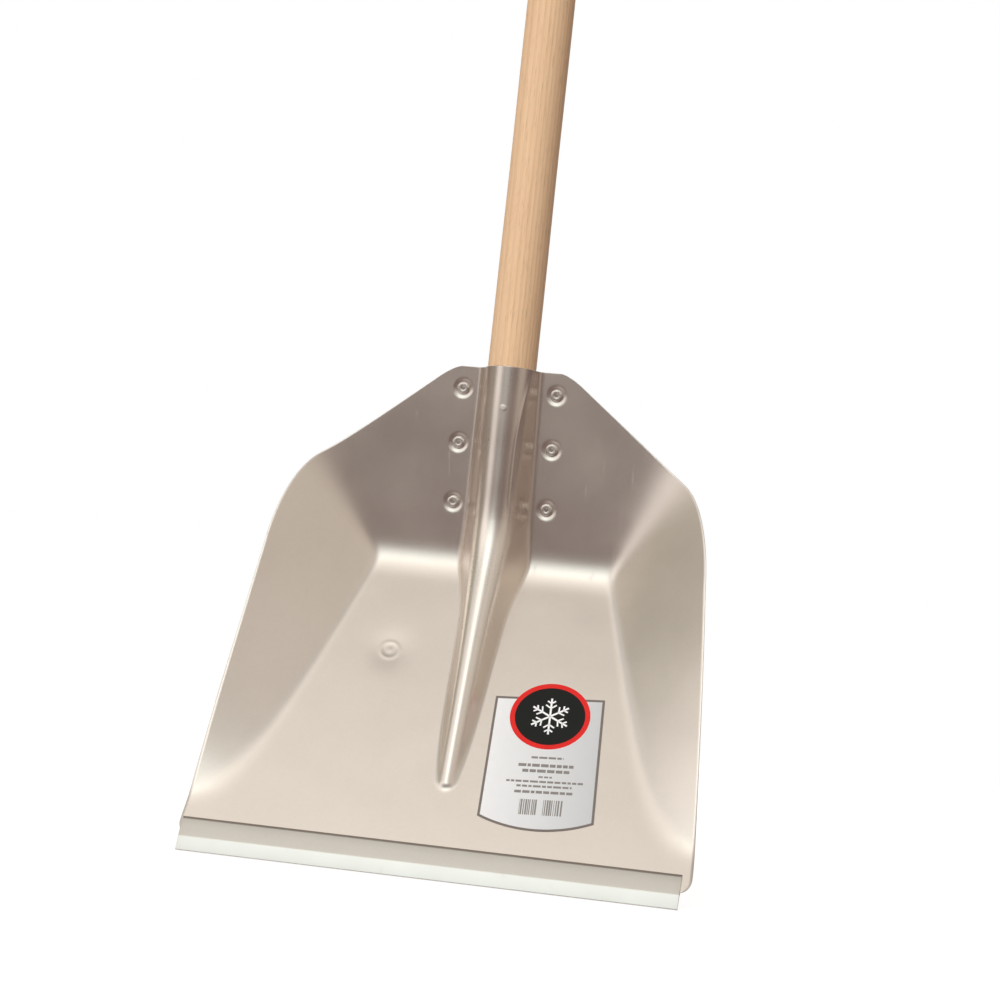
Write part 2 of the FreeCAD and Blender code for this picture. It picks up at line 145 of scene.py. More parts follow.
# faint marks of the press: a line down the right of the socket, an embossed ring on the floor
PRESS_LINE_X = 11.5
PRESS_LINE_WAIST = 60.0  # height at which the line is nearest to the socket's middle
PRESS_LINE_OUT = (8.5, 110.0)   # swing outwards above the waist, and the height it takes
PRESS_LINE_FOOT = (2.0, 40.0)   # and below it
PRESS_LINE_END = (28.0, 20.0)   # lower end, and the height over which the line fades in
PRESS_LINE_BEAD = (0.42, 1.1)   # height and width
STAMP_CENTRE = (-66.0, 85.0)
STAMP_RADIUS = 7.0
STAMP_RING = (0.24, 1.4)
STAMP_HUB = (0.22, 2.2)
STAMP_DENT = (0.8, 14.0)

STRIP_THICKNESS = 0.8
STRIP_START = 245.8      # along the floor from the bend
STRIP_BEND = 262.2
STRIP_LIP = 10.8
STRIP_LIP_DROP = math.radians(12.6)
STRIP_NOSE = 0.5         # rounding of the lip, in thicknesses
STRIP_UNDER_START = 249.0
STRIP_GAP = 0.05
STRIP_ROLL = (0.3, 0.45)  # along and up: first point of the flange's rolled upper edge
STRIP_ROLL_LENGTH = 2.2
STRIP_END_BEVEL = 0.35
STRIP_END_ROUNDING = 0.3
STRIP_SHADE_BAND = (-0.1, 1.9)  # the rolled edge that carries a painted shadow line, from STRIP_START

LABEL_CORNERS = ((28.0, 217.6), (23.3, 115.6), (105.8, 109.6), (114.2, 214.4))
LABEL_BOTTOM = (72.2, 225.2)
LABEL_RIM = 1.9
BADGE_CENTRE = (67.0, 128.4)
BADGE_HALF = (30.3, 28.4)
BADGE_RIM = 3.8
FLAKE_RADIUS = 15.5

# lower and upper face of each printed layer, over the floor
BORDER_LAYER = (0.03, 0.14)
FACE_LAYER = (0.10, 0.17)
RING_LAYER = (0.10, 0.20)
CENTRE_LAYER = (0.15, 0.23)
FLAKE_LAYER = (0.20, 0.25)
INK_LAYER = (0.12, 0.19)

# ------------------------------------------------ frame
handle_low, handle_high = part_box("handle")
strip_low, strip_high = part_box("edge_strip")
MM = 0.001
AXIS_Y = (handle_low.y + handle_high.y) / 2
_, blade_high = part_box("blade")
BEND_Z = blade_high.z - TOP_EDGE_Z * MM


def place(points):
    """Drawing frame in millimetres to the row frame in metres, for an array of points."""
    return np.asarray(points, float) * MM + np.array([0.0, AXIS_Y, BEND_Z])


# ------------------------------------------------ blade surface
def smooth_step(t):
    t = np.clip(t, 0, 1)
    return t * t * (3 - 2 * t)


def smooth_min(a, b, blend):
    near = np.maximum(blend - np.abs(a - b), 0) / blend
    return np.minimum(a, b) - near ** 3 * blend / 6


def smooth_max(a, b, blend):
    return -smooth_min(-a, -b, blend)


def handle_radius(z):
    return HANDLE_RADIUS - HANDLE_TAPER * np.clip(TOP_EDGE_Z - z, 0, TOP_EDGE_Z - HANDLE_BOTTOM_Z)


def rear_wall(z):
    return CREASE_Y - math.tan(REAR_LEAN) * z


def floor_line(z):
    return CREASE_Y + math.tan(FLOOR_LEAN) * z


def side_wall(x, z):
    """Front face of the side walls, which rise forward and outward from the floor's sides."""
    down = -smooth_min(z, 0.0, WALL_TURN)
    loss = WALL_PITCH_LOSS * down + WALL_END_LOSS * np.maximum(down - WALL_END, 0) ** 2
    forward = (WALL_LEAN + WALL_LEAN_GAIN * loss) * z - WALL_TOP_LEAN * smooth_max(z, 0.0, WALL_TURN)
    out = np.abs(x) - WALL_FOOT_HALF
    return CREASE_Y + forward - (WALL_PITCH - loss) * out + WALL_CURL * out ** 2


def ridge_share(z):
    """How far up the ridge z lies: 0 at its tip, 1 in the socket."""
    return np.maximum(smooth_min((z - RIDGE_TIP_Z) / (RIDGE_START_Z - RIDGE_TIP_Z), 1.0, RIDGE_ONSET), 0)


def crown_line(z):
    """Foremost line of socket and ridge, at x = 0."""
    socket = -(handle_radius(z) + HANDLE_FIT + SHEET)
    start = -(handle_radius(RIDGE_START_Z) + HANDLE_FIT + SHEET)
    tip = floor_line(RIDGE_TIP_Z) - RIDGE_TIP_HEIGHT
    slope = (start - tip) / (RIDGE_START_Z - RIDGE_TIP_Z)
    return smooth_min(socket, start + slope * (z - RIDGE_START_Z), RIDGE_BEND)


def bulge(x, z):
    """Front face of socket and ridge: a round crown with straight flanks."""
    share = ridge_share(z)
    socket = handle_radius(z) + HANDLE_FIT + SHEET
    radius = RIDGE_TIP_RADIUS + (socket - RIDGE_TIP_RADIUS) * share ** RIDGE_RADIUS_POWER
    draft = FLANK_DRAFT_RIDGE + (FLANK_DRAFT_TIP - FLANK_DRAFT_RIDGE) * (1 - share) ** FLANK_DRAFT_POWER
    near_socket = smooth_step((share - FLANK_CHANGE_START) / (FLANK_CHANGE_END - FLANK_CHANGE_START))
    draft = draft + (FLANK_DRAFT - FLANK_DRAFT_RIDGE) * near_socket
    side = np.abs(x)
    edge = radius * np.cos(draft)
    top = crown_line(z) + radius
    crown = top - np.sqrt(np.maximum(radius ** 2 - side ** 2, 1e-9))
    flank = top - radius * np.sin(draft) + (side - edge) / np.tan(draft)
    return np.where(side <= edge, crown, flank)


def pressed_shape(x, z):
    """Front face of the blade as it leaves the press."""
    flats = smooth_min(rear_wall(z), floor_line(z), CREASE_BLEND)
    blend = WALL_BLEND + WALL_BLEND_GAIN * smooth_max(z, 0.0, WALL_BLEND_TURN)
    walled = smooth_min(flats, side_wall(x, z), blend)
    fade = smooth_step((-z - WALL_FADE_START) / (WALL_FADE_END - WALL_FADE_START))
    pan = flats * fade + walled * (1 - fade)
    end = RIDGE_END_DROP * smooth_step((RIDGE_TIP_Z - z) / RIDGE_END_LENGTH)
    fillet = SOCKET_BLEND * (SOCKET_BLEND_TIP + (1 - SOCKET_BLEND_TIP) * ridge_share(z) ** 2)
    ridged = smooth_min(pan, bulge(x, z) + end, fillet)
    return np.where(z < RIDGE_TIP_Z - RIDGE_END_LENGTH, pan, ridged)


def rivet_dishes(x, z):
    """How far the sheet is pulled back round the rivets."""
    depth = np.zeros_like(x)
    for _, row in RIVET_ROWS:
        away = np.hypot(np.abs(x) - RIVET_HALF, (z - row) / math.cos(REAR_LEAN))
        depth = depth + DISH_DEPTH * (1 - smooth_step((away - RIVET_HEAD) / (DISH_RADIUS - RIVET_HEAD)))
    return depth


def bead(away, height, width):
    return height * np.exp(-(away / width) ** 2)


def press_marks(x, z):
    """How far the press line and the stamp stand back from the plain surface."""
    swing, swing_height = PRESS_LINE_OUT
    foot, foot_height = PRESS_LINE_FOOT
    line = (PRESS_LINE_X + swing * smooth_step((z - PRESS_LINE_WAIST) / swing_height) ** 2
            + foot * smooth_step((PRESS_LINE_WAIST - z) / foot_height))
    end, fade = PRESS_LINE_END
    ridge = bead(x - line, *PRESS_LINE_BEAD) * smooth_step((z - end) / fade)
    along = -z / math.cos(FLOOR_LEAN)
    away = np.hypot(x - STAMP_CENTRE[0], along - STAMP_CENTRE[1])
    return bead(away, *STAMP_DENT) - ridge - bead(away - STAMP_RADIUS, *STAMP_RING) - bead(away, *STAMP_HUB)


def sheet_front(x, z):
    return pressed_shape(x, z) + rivet_dishes(x, z) + press_marks(x, z)


def steepness(surface, x, z):
    """Length of the surface normal whose y part is 1."""
    step = 0.05
    slope_x = (surface(x + step, z) - surface(x - step, z)) / (2 * step)
    slope_z = (surface(x, z + step) - surface(x, z - step)) / (2 * step)
    return np.sqrt(1 + slope_x ** 2 + slope_z ** 2)


# ------------------------------------------------ outline of the blade
def bezier(points, t):
    """Points of a Bezier curve at the parameters t."""
    level = [np.asarray(p, float)[None, :] * np.ones((len(t), 1)) for p in points]
    while len(level) > 1:
        level = [a * (1 - t[:, None]) + b * t[:, None] for a, b in zip(level[:-1], level[1:])]
    return level[0]


def arc_through(a, b, c, count):
    """Points of the circle arc from a through b to c."""
    a, b, c = (np.asarray(p, float) for p in (a, b, c))
    d = 2 * (a[0] * (b[1] - c[1]) + b[0] * (c[1] - a[1]) + c[0] * (a[1] - b[1]))
    sa, sb, sc = (a @ a, b @ b, c @ c)
    centre = np.array([sa * (b[1] - c[1]) + sb * (c[1] - a[1]) + sc * (a[1] - b[1]),
                       sa * (c[0] - b[0]) + sb * (a[0] - c[0]) + sc * (b[0] - a[0])]) / d
    start = math.atan2(a[1] - centre[1], a[0] - centre[0])
    middle = math.atan2(b[1] - centre[1], b[0] - centre[0])
    end = math.atan2(c[1] - centre[1], c[0] - centre[0])
    if (middle - start) * (end - middle) < 0 or abs(end - start) > math.pi:
        wrap = 2 * math.pi
        end = end % wrap
        start = start % wrap
    angle = np.linspace(start, end, count)
    radius = np.linalg.norm(a - centre)
    return centre + radius * np.stack([np.cos(angle), np.sin(angle)], 1)


def half_outline():
    """Right half of the outline from the top edge down to the front edge, as (half width, z)."""
    curve_steps, arc_steps, corner_steps = OUTLINE_STEPS
    t = np.linspace(0, 1, curve_steps)
    front_z = -FLOOR_LENGTH * math.cos(FLOOR_LEAN)
    runs = [bezier(((TOP_EDGE_HALF, TOP_EDGE_Z), TOP_CORNER, SLOPE_START), t),
            bezier((SLOPE_START, SHOULDER_START), t),
            bezier((SHOULDER_START,) + SHOULDER_PULL + (SHOULDER_END,), t),
            arc_through(SHOULDER_END, SIDE_MIDDLE, FRONT_CORNER, arc_steps)]
    turn = np.linspace(0, math.pi / 2, corner_steps)
    corner = np.stack([FRONT_CORNER[0] + FRONT_CORNER_FLARE - FRONT_CORNER_RADIUS * (1 - np.cos(turn)),
                       front_z + FRONT_CORNER_RADIUS * (1 - np.sin(turn))], 1)
    runs.append(corner)
    return np.concatenate([runs[0]] + [run[1:] for run in runs[1:]])


def outline_rows():
    """Rows of the blade's grid, as z and half width."""
    points = half_outline()
    run = np.concatenate([[0], np.cumsum(np.linalg.norm(np.diff(points, axis=0), axis=1))])
    # steps follow both the run along the outline and the height, so that no row is far from the next
    height = TOP_EDGE_Z - points[:, 1]
    measure = ROW_RUN_SHARE * run + (1 - ROW_RUN_SHARE) * height
    even = np.linspace(0, measure[-1], int(measure[-1] / ROW_SPACING))
    return np.interp(even, measure, points[:, 1]), np.interp(even, measure, points[:, 0])


# ------------------------------------------------ meshes
def make_object(name, points, faces, material, smooth=True):
    """Mesh object from points in the drawing frame."""
    mesh = bpy.data.meshes.new(name)
    mesh.from_pydata(place(points).tolist(), [], faces)
    mesh.polygons.foreach_set("use_smooth", [smooth] * len(mesh.polygons))
    mesh.materials.append(material)
    mesh.validate()
    mesh.update()
    piece = bpy.data.objects.new(name, mesh)
    bpy.context.scene.collection.objects.link(piece)
    return piece


def keep(piece, slot, *nodes):
    """The piece rides with the shovel and stands for those nodes, which are hidden; slot is not used."""
    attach(piece, "root")
    if nodes:
        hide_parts(*nodes)
    return piece


def thick_sheet(name, xs, zs, front, back, material):
    """Closed sheet between two surfaces y = front and y = back over a grid, with a rounded rim.

    xs and zs are the grid's places as rows by columns; the rim lies on the grid's own border, and
    both faces stop short of it by RIM_ROUNDING."""
    rows, columns = xs.shape
    ring = [(0, j) for j in range(columns)]
    ring += [(i, columns - 1) for i in range(1, rows)]
    ring += [(rows - 1, j) for j in range(columns - 2, -1, -1)]
    ring += [(i, 0) for i in range(rows - 2, 0, -1)]
    border = np.array([(xs[i, j], zs[i, j]) for i, j in ring])
    ahead = np.roll(border, -1, 0) - np.roll(border, 1, 0)
    ahead /= np.linalg.norm(ahead, axis=1)[:, None]
    inward = np.stack([ahead[:, 1], -ahead[:, 0]], 1)
    middle = np.array([0.0, zs.mean()])
    if ((middle - border) * inward).sum() < 0:
        inward = -inward
    inset = border + inward * RIM_ROUNDING
    front_xz = np.stack([xs, zs], 2)
    for (i, j), spot in zip(ring, inset):
        front_xz[i, j] = spot
    x, z = front_xz[..., 0], front_xz[..., 1]
    near, far = front(x, z), back(x, z)
    faces_points = [np.stack([x, near, z], 2).reshape(-1, 3), np.stack([x, far, z], 2).reshape(-1, 3)]
    rim_near, rim_far = front(border[:, 0], border[:, 1]), back(border[:, 0], border[:, 1])
    for share in RIM_SHARES:
        y = rim_near + (rim_far - rim_near) * share
        faces_points.append(np.stack([border[:, 0], y, border[:, 1]], 1))
    points = np.concatenate(faces_points)
    index = np.arange(rows * columns).reshape(rows, columns)
    a, b, c, d = index[:-1, :-1], index[:-1, 1:], index[1:, 1:], index[1:, :-1]
    quads = np.stack([a, d, c, b], 2).reshape(-1, 4)
    count = rows * columns
    faces = quads.tolist() + (quads[:, ::-1] + count).tolist()
    size = len(ring)
    loops = [np.array([index[i, j] for i, j in ring])]
    loops += [2 * count + k * size + np.arange(size) for k in range(len(RIM_SHARES))]
    loops.append(loops[0] + count)
    for upper, lower in zip(loops[:-1], loops[1:]):
        side = np.stack([upper, np.roll(upper, -1), np.roll(lower, -1), lower], 1)
        faces += side.tolist()
    return make_object(name, points, faces, material)


def lathe(profile, steps, axis, centre, name, material):
    """Solid of revolution from (radius, height) points about an axis through centre."""
    axis = Vector(axis).normalized()
    side = axis.orthogonal().normalized()
    other = axis.cross(side)
    points = []
    faces = []
    rings = []
    for radius, height in profile:
        middle = Vector(centre) + axis * height
        if radius < 1e-6:
            rings.append([len(points)])
            points.append(tuple(middle))
            continue
        rings.append(list(range(len(points), len(points) + steps)))
        for k in range(steps):
            turn = 2 * math.pi * k / steps
            points.append(tuple(middle + (side * math.cos(turn) + other * math.sin(turn)) * radius))
    for low, high in zip(rings[:-1], rings[1:]):
        for k in range(steps):
            following = (k + 1) % steps
            if len(low) == 1 and len(high) == 1:
                break
            if len(low) == 1:
                faces.append((low[0], high[following], high[k]))
            elif len(high) == 1:
                faces.append((low[k], low[following], high[0]))
            else:
                faces.append((low[k], low[following], high[following], high[k]))
    return make_object(name, points, faces, material)


def rounded(profile, radius):
    """Profile whose corners, but for its two ends, are rounded off by up to that radius."""
    steps = 4
    smooth = [profile[0]]
    for before, corner, after in zip(profile[:-2], profile[1:-1], profile[2:]):
        b, c, a = (np.asarray(p, float) for p in (before, corner, after))
        to_b, to_a = b - c, a - c
        cut = min(radius, 0.45 * np.linalg.norm(to_b), 0.45 * np.linalg.norm(to_a))
        start = c + to_b / np.linalg.norm(to_b) * cut
        end = c + to_a / np.linalg.norm(to_a) * cut
        smooth += [tuple(p) for p in bezier((start, c, end), np.linspace(0, 1, steps))]
    return smooth + [profile[-1]]


# ------------------------------------------------ node materials
# noise scales are in waves per metre: across the sheet or the grain twice, then along it
ROLLING_LINES = (1500.0, 1500.0, 12.0)
SCUFFS = (260.0, 260.0, 9.0)
SCUFF_TURN = (0.25, 0.3, 0.2)
WOOD_FIBRE = (900.0, 900.0, 16.0)
WOOD_BROAD = (60.0, 60.0, 2.2)
WOOD_PORES = (1900.0, 1900.0, 75.0)
WOOD_WANDER = (9.0, 9.0, 1.1)
WOOD_RING = 0.0034       # metres from one growth ring to the next
WOOD_PITH = (0.055, AXIS_Y + 0.028, 0.0)


class Tree:
    """Short way to build a node tree."""

    def __init__(self, tree):
        self.tree = tree

    def add(self, kind, settings=None, **inputs):
        node = self.tree.nodes.new(kind)
        for key, value in (settings or {}).items():
            setattr(node, key, value)
        for key, value in inputs.items():
            self.feed(node.inputs[key.replace("_", " ")], value)
        return node

    def feed(self, socket, value):
        if isinstance(value, bpy.types.NodeSocket):
            self.tree.links.new(value, socket)
        elif isinstance(value, (int, float)) and hasattr(socket.default_value, "__len__"):
            socket.default_value = [value] * len(socket.default_value)
        else:
            socket.default_value = value

    def math(self, operation, a, b=0.0):
        node = self.tree.nodes.new("ShaderNodeMath")
        node.operation = operation
        for socket, value in zip(node.inputs, (a, b)):
            self.feed(socket, value)
        return node.outputs[0]

    def vector(self, operation, a, b=(0.0, 0.0, 0.0)):
        node = self.tree.nodes.new("ShaderNodeVectorMath")
        node.operation = operation
        self.feed(node.inputs[0], a)
        self.feed(node.inputs[1], b)
        return node.outputs["Value" if operation in ("DOT_PRODUCT", "LENGTH") else "Vector"]

    def place(self):
        """Position in the row frame, in metres."""
        return self.add("ShaderNodeTexCoord").outputs["Object"]

    def stretched(self, scale, turn=(0.0, 0.0, 0.0)):
        return self.add("ShaderNodeMapping", Vector=self.place(), Scale=scale, Rotation=turn).outputs[0]

    def noise(self, vector, scale, detail=3.0, roughness=0.55):
        node = self.add("ShaderNodeTexNoise", Vector=vector, Scale=scale, Detail=detail, Roughness=roughness)
        return node.outputs["Fac"]

    def remap(self, value, low, high, to_low, to_high, kind="LINEAR"):
        node = self.tree.nodes.new("ShaderNodeMapRange")
        node.interpolation_type = kind
        for socket, number in zip(node.inputs[:5], (value, low, high, to_low, to_high)):
            self.feed(socket, number)
        return node.outputs["Result"]

    def mix(self, share, a, b, blend="MIX"):
        node = self.tree.nodes.new("ShaderNodeMix")
        node.data_type = "RGBA"
        node.blend_type = blend
        self.feed(node.inputs["Factor"], share)
        self.feed(node.inputs["A"], a)
        self.feed(node.inputs["B"], b)
        return node.outputs["Result"]

    def bump(self, height, distance, strength=1.0, normal=None):
        node = self.add("ShaderNodeBump", Height=height, Distance=distance, Strength=strength)
        if normal is not None:
            self.feed(node.inputs["Normal"], normal)
        return node.outputs["Normal"]


def new_material(name):
    """New material with its node tree and its surface shader."""
    material = bpy.data.materials.new(name)
    material.use_nodes = True
    tree = Tree(material.node_tree)
    shader = material.node_tree.nodes["Principled BSDF"]
    return material, tree, shader


def sheet_metal(name, colour, roughness, rolling=(0.0, 0.0, 0.0), grime=0.0):
    """Rolled sheet: fine rolling lines, cloudy sheen, a few scuffs, a faint unevenness of the surface."""
    material, tree, shader = new_material(name)
    lines = tree.noise(tree.stretched(ROLLING_LINES, rolling), 1.0, 2.0)
    cloud = tree.noise(tree.place(), 22.0, 4.0)
    speck = tree.noise(tree.place(), 420.0, 2.0)
    scuff_field = tree.noise(tree.stretched(SCUFFS, SCUFF_TURN), 1.0, 2.0, 0.7)
    scuff = tree.remap(scuff_field, 0.66, 0.74, 0.0, 1.0, "SMOOTHSTEP")
    rough = roughness - 0.09     # which the three fields bring back on average
    for field, amount in ((cloud, 0.10), (lines, 0.06), (scuff, 0.07)):
        rough = tree.math("ADD", rough, tree.math("MULTIPLY", field, amount))
    shade = tree.remap(tree.math("ADD", cloud, tree.math("MULTIPLY", speck, 0.35)), 0.35, 1.0, 0.93, 1.02)
    base = tree.mix(1.0, (*colour, 1), shade, "MULTIPLY")
    if grime:
        spots = tree.remap(tree.noise(tree.place(), 60.0, 5.0, 0.7), 0.58, 0.75, 0.0, grime, "SMOOTHSTEP")
        dirt = (0.25, 0.23, 0.21, 1)
        base = tree.mix(spots, base, dirt)
    tree.feed(shader.inputs["Base Color"], base)
    tree.feed(shader.inputs["Metallic"], 1.0)
    tree.feed(shader.inputs["Roughness"], rough)
    wave = tree.bump(tree.noise(tree.place(), 16.0, 1.0), 0.0010, 0.35)
    fine = tree.bump(lines, 0.00002, 0.5, wave)
    tree.feed(shader.inputs["Normal"], tree.bump(speck, 0.00003, 0.2, fine))
    return material


def drawn_ridge(material):
    """Makes the stretched metal of socket and ridge smoother than the flat sheet beside it."""
    tree = Tree(material.node_tree)
    shader = material.node_tree.nodes["Principled BSDF"]
    rough = shader.inputs["Roughness"].links[0].from_socket
    spot = tree.add("ShaderNodeSeparateXYZ", Vector=tree.place())
    side = tree.math("ABSOLUTE", spot.outputs["X"])
    end = BEND_Z + (RIDGE_TIP_Z - SHEEN_END) * MM
    half = tree.remap(spot.outputs["Z"], end, BEND_Z, SHEEN_HALF[0] * MM, SHEEN_HALF[1] * MM)
    fade_from, fade_to = SHEEN_FADE[0] * MM, SHEEN_FADE[1] * MM
    flat = tree.remap(tree.math("SUBTRACT", side, half), fade_from, fade_to, 0.0, 1.0, "SMOOTHSTEP")
    smoother = tree.remap(flat, 0.0, 1.0, SHEEN, 0.0)
    tree.feed(shader.inputs["Roughness"], tree.math("SUBTRACT", rough, smoother))


def paint_strip_shade_and_highlight(material):
    """Paints shade on the strip, darker towards its upper edge, and a painted highlight on the lip, which
    stays pale.
    """
    tree = Tree(material.node_tree)
    shader = material.node_tree.nodes["Principled BSDF"]
    base = shader.inputs["Base Color"].links[0].from_socket
    spot = tree.vector("SUBTRACT", tree.place(), tuple(place([(0.0, CREASE_Y, 0.0)])[0]))
    down_floor = (0.0, -math.sin(FLOOR_LEAN), -math.cos(FLOOR_LEAN))
    along = tree.vector("DOT_PRODUCT", spot, down_floor)
    start, fold = STRIP_START * MM, STRIP_BEND * MM
    # painted shade: the flange darkens towards its upper edge, with a painted shadow line just below that
    # edge
    soft = tree.remap(along, start + 1.0 * MM, start + 9.0 * MM, 0.88, 0.97, "SMOOTHSTEP")
    line = tree.remap(along, start + 1.4 * MM, start + 2.8 * MM, 0.60, 1.0, "SMOOTHSTEP")
    tone = tree.mix(1.0, base, tree.math("MULTIPLY", soft, line), "MULTIPLY")
    # painted highlight: the lip beyond the fold takes a paler colour
    beyond = tree.remap(along, fold, fold + 0.6 * MM, 0.0, 1.0)
    painted_lip_highlight = (0.86, 0.855, 0.83, 1)
    tree.feed(shader.inputs["Base Color"], tree.mix(beyond, tone, painted_lip_highlight))


def wood_material(name):
    """Sanded ash: growth rings round a pith beside the pole, pores as short dark dashes."""
    material, tree, shader = new_material(name)
    early_wood, late_wood = (0.88, 0.60, 0.37, 1), (0.70, 0.44, 0.25, 1)
    pale, dark, pore = (0.92, 0.67, 0.45, 1), (0.58, 0.36, 0.20, 1), (0.34, 0.20, 0.11, 1)
    wander = tree.add("ShaderNodeTexNoise", Vector=tree.stretched(WOOD_WANDER), Scale=1.0, Detail=2.0)
    drift = tree.vector("SUBTRACT", wander.outputs["Color"], (0.5, 0.5, 0.5))
    drift = tree.vector("MULTIPLY", drift, (0.016, 0.016, 0.0))
    flat = tree.vector("MULTIPLY", tree.vector("ADD", tree.place(), drift), (1.0, 1.0, 0.0))
    away = tree.vector("LENGTH", tree.vector("SUBTRACT", flat, WOOD_PITH))
    ring = tree.math("FRACT", tree.math("MULTIPLY", away, 1 / WOOD_RING))
    late = tree.remap(ring, 0.45, 0.95, 0.0, 1.0, "SMOOTHSTEP")
    early = tree.remap(ring, 0.0, 0.10, 1.0, 0.0, "SMOOTHSTEP")
    band = tree.math("MAXIMUM", late, early)
    fibre = tree.noise(tree.stretched(WOOD_FIBRE), 1.0, 3.0, 0.6)
    broad = tree.noise(tree.stretched(WOOD_BROAD), 1.0, 3.0)
    dashes = tree.noise(tree.stretched(WOOD_PORES), 1.0, 1.0)
    pores = tree.remap(dashes, 0.62, 0.70, 0.0, 1.0, "SMOOTHSTEP")
    tone = tree.mix(tree.math("MULTIPLY", band, 0.55), early_wood, late_wood)
    tone = tree.mix(tree.remap(broad, 0.35, 0.7, 0.0, 0.45), tone, pale)
    tone = tree.mix(tree.remap(fibre, 0.35, 0.75, 0.0, 0.30), tone, dark)
    tone = tree.mix(tree.math("MULTIPLY", pores, 0.35), tone, pore)
    tree.feed(shader.inputs["Base Color"], tone)
    tree.feed(shader.inputs["Roughness"], tree.remap(fibre, 0.3, 0.7, 0.52, 0.68))
    tree.feed(shader.inputs["Specular IOR Level"], 0.35)
    grain = tree.bump(fibre, 0.00012, 0.5)
    tree.feed(shader.inputs["Normal"], tree.bump(tree.math("MULTIPLY", pores, -1.0), 0.00008, 0.6, grain))
    return material


def print_material(name, colour, roughness):
    """Printed foil or ink: slightly uneven colour and sheen."""
    mottle = 0.06
    material, tree, shader = new_material(name)
    cloud = tree.noise(tree.place(), 90.0, 3.0)
    fibre = tree.noise(tree.place(), 1300.0, 2.0)
    shade = tree.remap(cloud, 0.3, 0.7, 1.0 - mottle, 1.0 + mottle)
    tree.feed(shader.inputs["Base Color"], tree.mix(1.0, (*colour, 1), shade, "MULTIPLY"))
    tree.feed(shader.inputs["Roughness"], tree.remap(fibre, 0.3, 0.7, roughness - 0.05, roughness + 0.05))
    tree.feed(shader.inputs["Specular IOR Level"], 0.2)
    tree.feed(shader.inputs["Normal"], tree.bump(fibre, 0.00002, 0.3))
    return material


def silver_print(name):
    """Silver-grey printed face, paler at its left edge."""
    material, tree, shader = new_material(name)
    across = tree.add("ShaderNodeSeparateXYZ", Vector=tree.place()).outputs["X"]
    low_x, high_x = LABEL_CORNERS[1][0] * MM, LABEL_CORNERS[3][0] * MM
    share = tree.remap(across, low_x, high_x, 0.0, 1.0)
    cloud = tree.noise(tree.place(), 120.0, 3.0)
    share = tree.math("ADD", share, tree.math("MULTIPLY", tree.math("SUBTRACT", cloud, 0.5), 0.12))
    left_tone, right_tone = (0.93, 0.935, 0.955, 1), (0.62, 0.635, 0.65, 1)
    tone = tree.mix(share, left_tone, right_tone)
    fibre = tree.noise(tree.place(), 1400.0, 2.0)
    tree.feed(shader.inputs["Base Color"], tone)
    tree.feed(shader.inputs["Metallic"], 0.30)
    tree.feed(shader.inputs["Roughness"], tree.remap(fibre, 0.3, 0.7, 0.38, 0.48))
    tree.feed(shader.inputs["Normal"], tree.bump(fibre, 0.00002, 0.3))
    return material


ALUMINIUM = sheet_metal("blade_aluminium", (0.93, 0.86, 0.80), 0.36)
drawn_ridge(ALUMINIUM)
PLATE_METAL = sheet_metal("plate_aluminium", (0.86, 0.82, 0.78), 0.40, grime=0.15)
RIVET_METAL = sheet_metal("rivet_aluminium", (0.92, 0.87, 0.82), 0.42)
MANDREL_METAL = sheet_metal("mandrel_steel", (0.60, 0.56, 0.52), 0.45, grime=0.4)
NAIL_METAL = sheet_metal("nail_steel", (0.92, 0.88, 0.82), 0.50, grime=0.1)
STRIP_METAL = sheet_metal("edge_steel", (0.80, 0.765, 0.72), 0.40, (0.0, math.pi / 2, 0.0))
# painted shade at the strip's upper edge and a painted highlight on its lip
paint_strip_shade_and_highlight(STRIP_METAL)
# dark colour for the strip's rolled upper edge: a painted shadow line
STRIP_SHADE_LINE = sheet_metal("edge_steel_painted_shade", (0.46, 0.39, 0.34), 0.55, (0.0, math.pi / 2, 0.0))
WOOD = wood_material("handle_ash")
SILVER = silver_print("label_silver")
BORDER_INK = print_material("label_border", (0.20, 0.17, 0.155), 0.5)
RED_INK = print_material("label_red", (0.74, 0.024, 0.020), 0.4)
BLACK_INK = print_material("label_black", (0.010, 0.011, 0.010), 0.35)
GREY_INK = print_material("label_grey_ink", (0.26, 0.24, 0.225), 0.5)
WHITE_INK = print_material("label_white", (0.95, 0.95, 0.95), 0.45)


# ------------------------------------------------ blade
def blade_grid():
    """Places of the blade's grid: level rows from edge to edge, columns at a share of the width."""
    rows_z, rows_half = outline_rows()
    u = np.linspace(-1, 1, BLADE_COLUMNS)
    spread = COLUMN_SPREAD * u + (1 - COLUMN_SPREAD) * u ** 3
    xs = rows_half[:, None] * spread[None, :]
    zs = np.repeat(rows_z[:, None], len(u), 1)
    return xs, zs


def sheet_back(x, z):
    return sheet_front(x, z) + SHEET * steepness(pressed_shape, x, z)


blade_xs, blade_zs = blade_grid()
keep(thick_sheet("blade_sheet", blade_xs, blade_zs, sheet_front, sheet_back, ALUMINIUM),
     "blade_aluminium", "blade")


# ------------------------------------------------ socket plate
def plate_face(x, z, depth, blend):
    """Flanges against the rear wall and a tube round the handle, depth behind the plate's front."""
    flange = rear_wall(z) + (SHEET + PLATE_GAP + depth) / math.cos(REAR_LEAN)
    radius = handle_radius(z) + HANDLE_FIT + depth
    beyond = np.maximum(np.abs(x) - radius, 0)
    tube = np.sqrt(np.maximum(radius ** 2 - x ** 2, 0.01)) - TUBE_SIDE_SLOPE * beyond
    return smooth_max(flange, tube, blend) + rivet_dishes(x, z) * PLATE_DISH


def plate_front(x, z):
    return plate_face(x, z, 0.0, PLATE_BLEND_FRONT)


def plate_back(x, z):
    return plate_face(x, z, PLATE_THICKNESS, PLATE_BLEND_BACK)


